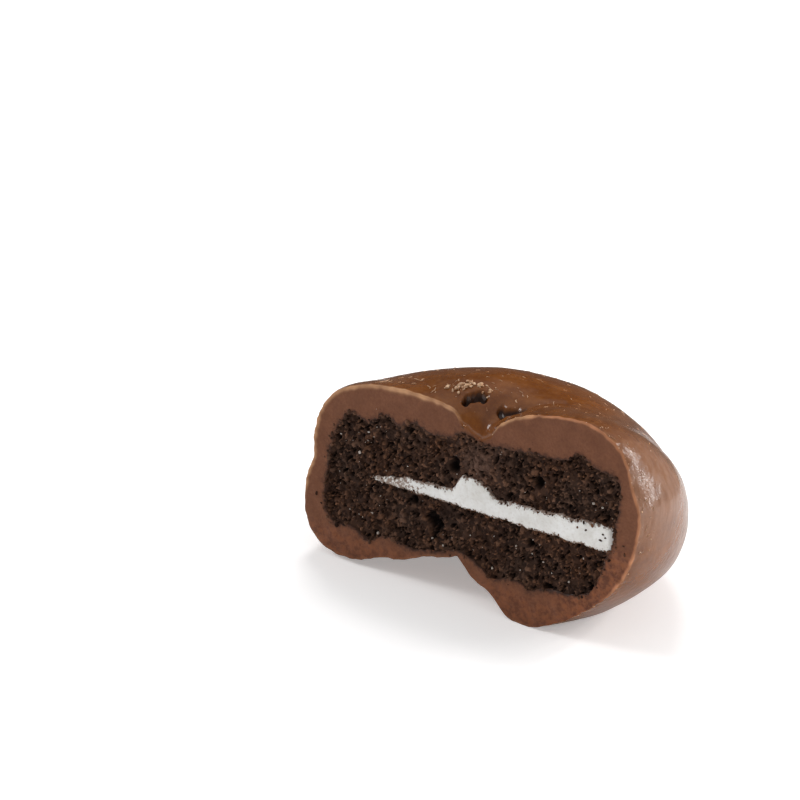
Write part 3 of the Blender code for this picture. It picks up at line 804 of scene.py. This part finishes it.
class Nodes:
    """A node tree, with a method for each kind of node that the looks use."""

    def __init__(self, tree):
        self.tree = tree

    def connect(self, node, inputs):
        for title, value in inputs.items():
            if isinstance(value, bpy.types.NodeSocket):
                self.tree.links.new(value, node.inputs[title])
            else:
                node.inputs[title].default_value = value

    def add(self, kind, inputs=None, **settings):
        made = self.tree.nodes.new("ShaderNode" + kind)
        for title, value in settings.items():
            setattr(made, title, value)
        self.connect(made, inputs or {})
        return made

    def maths(self, operation, first, second):
        return self.add("Math", {0: first, 1: second}, operation=operation).outputs[0]

    def times(self, first, second):
        return self.maths("MULTIPLY", first, second)

    def ranged(self, value, low, high, start=0.0, end=1.0):
        inputs = {"Value": value, "From Min": low, "From Max": high, "To Min": start, "To Max": end}
        return self.add("MapRange", inputs).outputs[0]

    def mixed(self, share, first, second):
        return self.add("Mix", {0: share, 6: first, 7: second}, data_type="RGBA").outputs[2]

    def tinted(self, colour, share, most, tint):
        """A colour moved towards a tint, at most so far."""
        return self.mixed(self.times(share, most), colour, tint)

    def mark(self, name):
        """A value that the mesh holds at its points."""
        return self.add("Attribute", attribute_name=name).outputs["Fac"]

    def place(self, stretch=(1, 1, 1)):
        """Places in millimetres."""
        where = self.add("TexCoord").outputs["Object"]
        scale = tuple(share / MM for share in stretch)
        return self.add("VectorMath", {0: where, 1: scale}, operation="MULTIPLY").outputs[0]

    def grain(self, scale, detail=2.0, rough=0.5, stretch=(1, 1, 1)):
        """Cloudy noise with so many clouds to the millimetre."""
        inputs = {"Vector": self.place(stretch), "Scale": scale, "Detail": detail, "Roughness": rough}
        return self.add("TexNoise", inputs).outputs["Fac"]

    def clouds(self, low, high, *texture):
        """Noise that runs from 0 at low to 1 at high."""
        return self.ranged(self.grain(*texture), low, high)

    def bumped(self, height, strength, distance, normal=None):
        """A bumpy surface, its distance in millimetres, over another one."""
        inputs = {"Height": height, "Strength": strength, "Distance": distance * MM}
        if normal is not None:
            inputs["Normal"] = normal
        return self.add("Bump", inputs).outputs[0]


def new_material(name, look, *settings):
    """A material whose inputs come from one of the looks below."""
    material = bpy.data.materials.new(name)
    material.use_nodes = True
    nodes = Nodes(material.node_tree)
    nodes.connect(material.node_tree.nodes["Principled BSDF"], look(nodes, *settings))
    return material


def rgb(red, green, blue):
    """A colour given as seen on screen, 0 to 255, as linear light."""
    seen = np.array([red, green, blue]) / 255
    light = np.where(seen <= 0.04045, seen / 12.92, ((seen + 0.055) / 1.055) ** 2.4)
    return (*light.tolist(), 1.0)


def skin_colour(nodes, down, streaks):
    """Patchy milk chocolate with faint streaks and specks, and a painted greyish sheen round the side.
    """
    patches = nodes.clouds(0.35, 0.65, 0.6, 4.0, 0.7)
    skin = nodes.mixed(patches, rgb(98, 51, 14), rgb(120, 69, 26))
    skin = nodes.tinted(skin, nodes.ranged(streaks, 0.52, 0.72), 0.35, rgb(146, 94, 54))
    specks = nodes.clouds(0.68, 0.76, 3.2, 2.0, 0.7)
    skin = nodes.tinted(skin, specks, 0.5, rgb(176, 126, 88))
    # painted greyish sheen round the side
    bloom = nodes.times(nodes.mark("bloom"), nodes.ranged(down, 0.35, 0.6, 0.35, 0.6))
    skin = nodes.mixed(bloom, skin, rgb(152, 121, 103))
    # painted shade in the pit, the slit and the crease
    return nodes.tinted(skin, nodes.mark("pitted"), 0.9, rgb(34, 14, 7))


def cut_colour(nodes, wet):
    """The cut coating: cloudy, blotched where it is smeared, and dirty by the filling."""
    cloud = nodes.clouds(0.3, 0.7, 0.9, 4.0, 0.65)
    inside = nodes.mixed(cloud, rgb(109, 68, 47), rgb(124, 80, 57))
    fine = nodes.clouds(0.35, 0.75, 6.0, 2.0, 0.6)
    inside = nodes.tinted(inside, fine, 0.4, rgb(84, 52, 38))
    inside = nodes.tinted(inside, wet, 0.6, rgb(128, 74, 46))
    blotches = nodes.grain(2.4, 3.0, 0.7)
    pale, dark = nodes.ranged(blotches, 0.50, 0.62), nodes.ranged(blotches, 0.50, 0.38)
    inside = nodes.tinted(inside, nodes.times(wet, pale), 0.4, rgb(150, 90, 54))
    inside = nodes.tinted(inside, nodes.times(wet, dark), 0.6, rgb(72, 40, 28))
    crumbs = nodes.maths("ADD", nodes.grain(2.6, 4.0, 0.75), nodes.times(nodes.mark("smudge"), 0.42))
    return nodes.tinted(inside, nodes.ranged(crumbs, 0.60, 0.92), 0.85, rgb(50, 34, 28))


SKIN_GLOSS, CUT_GLOSS = 0.5, 0.2


def chocolate_look(nodes, gloss):
    """The coating: its skin, the dull cut face and the pale broken edge between them."""
    cut, wet = nodes.mark("cut"), nodes.mark("wet")
    down = nodes.grain(1.0, 3.0, 0.6, stretch=(2.2, 2.2, 0.25))
    along = nodes.grain(1.0, 3.0, 0.6, stretch=(0.35, 1.6, 2.5))
    streaks = nodes.maths("ADD", nodes.times(down, 0.5), nodes.times(along, 0.5))
    colour = nodes.mixed(cut, skin_colour(nodes, down, streaks), cut_colour(nodes, wet))
    # the pale broken edge: partly broken glaze, partly a painted highlight along the edge
    broken = nodes.mixed(nodes.mark("warm"), rgb(202, 154, 114), rgb(218, 150, 108))
    colour = nodes.tinted(colour, nodes.mark("rim"), 0.9, broken)
    skin_rough = nodes.ranged(streaks, 0.35, 0.7, 0.10, 0.23)
    cut_rough = nodes.maths("SUBTRACT", 0.7, nodes.times(wet, 0.42))
    both = nodes.add("Mix", {0: cut, 2: skin_rough, 3: cut_rough}, data_type="FLOAT")
    surface = nodes.bumped(nodes.grain(2.2, 3.0, 0.55), 0.35, 0.09)
    surface = nodes.bumped(streaks, 0.3, 0.06, surface)
    surface = nodes.bumped(nodes.grain(6.0, 3.0, 0.65), 0.3, 0.02, surface)
    return {"Base Color": colour, "Roughness": both.outputs[0], "Normal": surface, "IOR": 1.45,
            "Specular IOR Level": gloss}


def crumb_look(nodes):
    patches = nodes.clouds(0.35, 0.65, 0.35)
    dark = nodes.mixed(patches, rgb(32, 19, 13), rgb(42, 24, 16))
    light = nodes.mixed(patches, rgb(126, 94, 76), rgb(136, 94, 68))
    colour = nodes.mixed(nodes.mark("tone"), dark, light)
    dust = nodes.clouds(0.35, 0.7, 9.0, 2.0, 0.7)
    colour = nodes.tinted(colour, dust, 0.3, rgb(74, 50, 38))
    colour = nodes.tinted(colour, nodes.mark("smear"), 0.8, rgb(98, 74, 63))
    # painted shade in the deeper crumb
    colour = nodes.tinted(colour, nodes.mark("deep"), 0.85, rgb(14, 9, 8))
    return {"Base Color": colour, "Roughness": 0.8, "Specular IOR Level": 0.15,
            "Normal": nodes.bumped(nodes.grain(6.0, 3.0, 0.6), 0.4, 0.06)}


def cream_look(nodes):
    cloud = nodes.clouds(0.3, 0.7, 0.8, 4.0, 0.6)
    colour = nodes.mixed(cloud, rgb(216, 214, 209), rgb(236, 236, 234))
    fine = nodes.clouds(0.5, 0.75, 5.0, 3.0, 0.6)
    colour = nodes.tinted(colour, fine, 0.3, rgb(186, 176, 164))
    crumbs = nodes.maths("ADD", nodes.grain(3.6, 3.0, 0.75), nodes.times(nodes.mark("soiled"), 0.45))
    colour = nodes.tinted(colour, nodes.ranged(crumbs, 0.71, 0.80), 0.85, rgb(116, 86, 66))
    return {"Base Color": colour, "Roughness": 0.6, "Specular IOR Level": 0.25,
            "Normal": nodes.bumped(nodes.grain(3.0, 4.0, 0.6), 0.4, 0.06)}


def flake_look(nodes):
    mottle = nodes.clouds(0.35, 0.65, 4.0)
    colour = nodes.mixed(mottle, rgb(190, 146, 108), rgb(236, 204, 170))
    colour = nodes.tinted(colour, nodes.mark("tone"), 0.5, rgb(150, 98, 58))
    return {"Base Color": colour, "Roughness": 0.4, "Normal": nodes.bumped(nodes.grain(9.0), 0.4, 0.03)}


def sugar_look(nodes):
    mottle = nodes.clouds(0.35, 0.65, 5.0)
    colour = nodes.mixed(mottle, rgb(176, 164, 152), rgb(222, 216, 210))
    colour = nodes.tinted(colour, nodes.mark("tone"), 0.6, rgb(150, 122, 100))
    return {"Base Color": colour, "Roughness": 0.25}


# Studio

CAMERA_AZIMUTH, CAMERA_ELEVATION = 38, 25  # degrees; azimuth 0 is in front of the cut, 90 right
CAMERA_TARGET, CAMERA_AWAY = (-5.6147, -0.7129, 6.2085), 300.0
LENS, SENSOR, CLIP = 197.08, 36.0, (0.01, 10.0)

# Lights stand so many metres from the cookie, at an azimuth and elevation; sizes are in metres.
LIGHT_AIM = (0, 0, 0.008)
KEY_PLACE, KEY_SIZE, KEY_POWER = (2.0, 216, 62), 0.55, 11.5
LEFT_PLACE, LEFT_SIZE, LEFT_POWER = (0.45, -62, 36), 0.12, 0.55
# A row of boxes behind on the right, from high to low and growing weaker, makes one long highlight.
STRIP_BOXES, STRIP_AWAY, STRIP_SIZE = 5, 0.45, 0.05
STRIP_TOP, STRIP_END = (149, 29), (128, 3)
STRIP_POWER, STRIP_FADE = 0.55, 0.55
WORLD_LOW, WORLD_HIGH, WORLD_BLEND = 0.22, 0.62, (0.5, 0.85)  # the room's light by height

FLOOR_GLOW, FLOOR_SIDE = 0.31, 3000.0
CARD_FLOOR, CARD_TOP, CARD_BACK, CARD_SIDE = FLOOR_Z + 0.05, 37.0, 38.0, 60.0
BEHIND_CARD = ((-CARD_SIDE, CARD_BACK, CARD_FLOOR), (CARD_SIDE, CARD_BACK, CARD_FLOOR),
               (CARD_SIDE, CARD_BACK, CARD_TOP), (-CARD_SIDE, CARD_BACK, CARD_TOP))
BEHIND_SHADES = (0.08, 0.07, 0.065, 1), (0.50, 0.48, 0.46, 1)
BELOW_SHADES = (0.8, 0.8, 0.8, 1), (0.86, 0.86, 0.86, 1)
CARD_FADE = -2.0, 18.0  # from the shade on the left to the one on the right


def add_facing(name, data, target, away, azimuth, elevation):
    """A camera or lamp that looks at a target from a distance."""
    turn, tip = math.radians(azimuth), math.radians(elevation)
    toward = Vector((math.sin(turn) * math.cos(tip), -math.cos(turn) * math.cos(tip), math.sin(tip)))
    made = add_object(name, data)
    made.location = Vector(target) + toward * away
    made.rotation_euler = toward.to_track_quat("Z", "Y").to_euler()
    return made


def add_camera():
    data = bpy.data.cameras.new("camera")
    data.lens, data.sensor_width = LENS, SENSOR
    data.clip_start, data.clip_end = CLIP
    target = np.array(CAMERA_TARGET) * MM + shift
    camera = add_facing("camera", data, target, CAMERA_AWAY * MM, CAMERA_AZIMUTH, CAMERA_ELEVATION)
    bpy.context.scene.camera = camera


def add_light(name, place, size, power):
    """A soft square panel."""
    data = bpy.data.lights.new(name, "AREA")
    data.size, data.energy = size, power
    return add_facing(name, data, LIGHT_AIM, *place)


def add_sheet(name, corners, look, *settings):
    """A flat sheet, its corners in millimetres."""
    data = bpy.data.meshes.new(name)
    data.from_pydata((np.array(corners) * MM + shift).tolist(), [], [(0, 1, 2, 3)])
    data.materials.append(new_material(name, look, *settings))
    sheet = add_object(name, data)
    return sheet


def level_corners(side, back, height):
    return (-side, -side, height), (side, -side, height), (side, back, height), (-side, back, height)


def floor_look(nodes):
    soft = nodes.clouds(0.3, 0.7, 0.01)
    colour = nodes.mixed(soft, (0.93, 0.92, 0.92, 1), (0.94, 0.93, 0.93, 1))
    return {"Base Color": colour, "Roughness": 0.9, "Specular IOR Level": 0.2,
            "Emission Color": (1, 1, 1, 1), "Emission Strength": FLOOR_GLOW}


def card_look(nodes, left_shade, right_shade):
    across = nodes.add("SeparateXYZ", {0: nodes.place()}).outputs["X"]
    start, end = (limit + shift[0] / MM for limit in CARD_FADE)
    return {"Base Color": nodes.mixed(nodes.ranged(across, start, end), left_shade, right_shade),
            "Roughness": 0.9}


def add_card(name, corners, shades):
    """A card by the cookie that only reflections show: a darker sheet that puts painted shade into the
    reflections of the room and floor behind and below the cookie.
    """
    card = add_sheet(name, corners, card_look, *shades)
    card.visible_camera = card.visible_diffuse = card.visible_shadow = False


def add_room():
    """Light from all round, stronger from above; to the camera the room is white."""
    world = bpy.data.worlds.new("studio")
    world.use_nodes = True
    nodes = Nodes(world.node_tree)
    ahead = nodes.add("TexCoord").outputs["Generated"]
    height = nodes.add("SeparateXYZ", {0: ahead}).outputs["Z"]
    light = nodes.ranged(height, *WORLD_BLEND, WORLD_LOW, WORLD_HIGH)
    light = nodes.maths("MAXIMUM", light, nodes.add("LightPath").outputs["Is Camera Ray"])
    nodes.connect(world.node_tree.nodes["Background"], {"Color": (1, 1, 1, 1), "Strength": light})
    bpy.context.scene.world = world
    bpy.context.scene.view_settings.view_transform = "Standard"


def add_studio():
    add_room()
    add_sheet("floor", level_corners(FLOOR_SIDE, FLOOR_SIDE, FLOOR_Z), floor_look)
    add_card("card_behind", BEHIND_CARD, BEHIND_SHADES)
    add_card("card_below", level_corners(CARD_SIDE, CARD_BACK, CARD_FLOOR), BELOW_SHADES)
    key = add_light("top_panel", KEY_PLACE, KEY_SIZE, KEY_POWER)
    key.visible_glossy = False
    for number in range(STRIP_BOXES):
        share = number / (STRIP_BOXES - 1)
        azimuth, elevation = (mix(high, low, share) for high, low in zip(STRIP_TOP, STRIP_END))
        power = STRIP_POWER * (1 - STRIP_FADE * share)
        add_light(f"strip_{number}", (STRIP_AWAY, azimuth, elevation), STRIP_SIZE, power)
    add_light("left_box", LEFT_PLACE, LEFT_SIZE, LEFT_POWER)


# Assembly

def find_shift():
    """From this script's own frame to the row's, in metres."""
    around, climb = skin_angles()
    points = coat_surface(around[None, ::4], climb[::3, None]).reshape(-1, 3)
    low, high = points.min(0), points.max(0)
    box_low, box_high = (np.array(corner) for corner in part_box("coating"))
    middle = (box_low + box_high) / 2 - (low + high) / 2 * MM
    return np.array([middle[0], middle[1], box_low[2] - FLOOR_Z * MM])


def dress(piece, materials, slot, *nodes):
    for material in materials:
        piece.data.materials.append(material)
    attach(piece, "root")
    if nodes:
        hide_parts(*nodes)


shift = find_shift()
chocolate = [new_material("milk_chocolate", chocolate_look, SKIN_GLOSS),
             new_material("cut_chocolate", chocolate_look, CUT_GLOSS)]
wafer = [new_material("cocoa_wafer", crumb_look)]
cream = [new_material("white_cream", cream_look)]
sugar = [new_material("sugar", sugar_look)]
flakes = [new_material("pale_flakes", flake_look)]

crumb = broken_crumb()
dress(coating_piece(), chocolate, "milk_chocolate", "coating")
dress(wafer_piece("upper_wafer_crumb", crumb, True), wafer, "cocoa_wafer", "upper_wafer")
dress(wafer_piece("lower_wafer_crumb", crumb, False), wafer, "cocoa_wafer", "lower_wafer")
dress(cream_piece(), cream, "white_cream", "cream")
dress(loose_crumbs(), wafer, "cocoa_wafer")
dress(sugar_grains(crumb), sugar, "white_cream")
dress(pale_flakes(), flakes, "milk_chocolate")
dress(pale_marks(), flakes, "milk_chocolate")
add_camera()
add_studio()
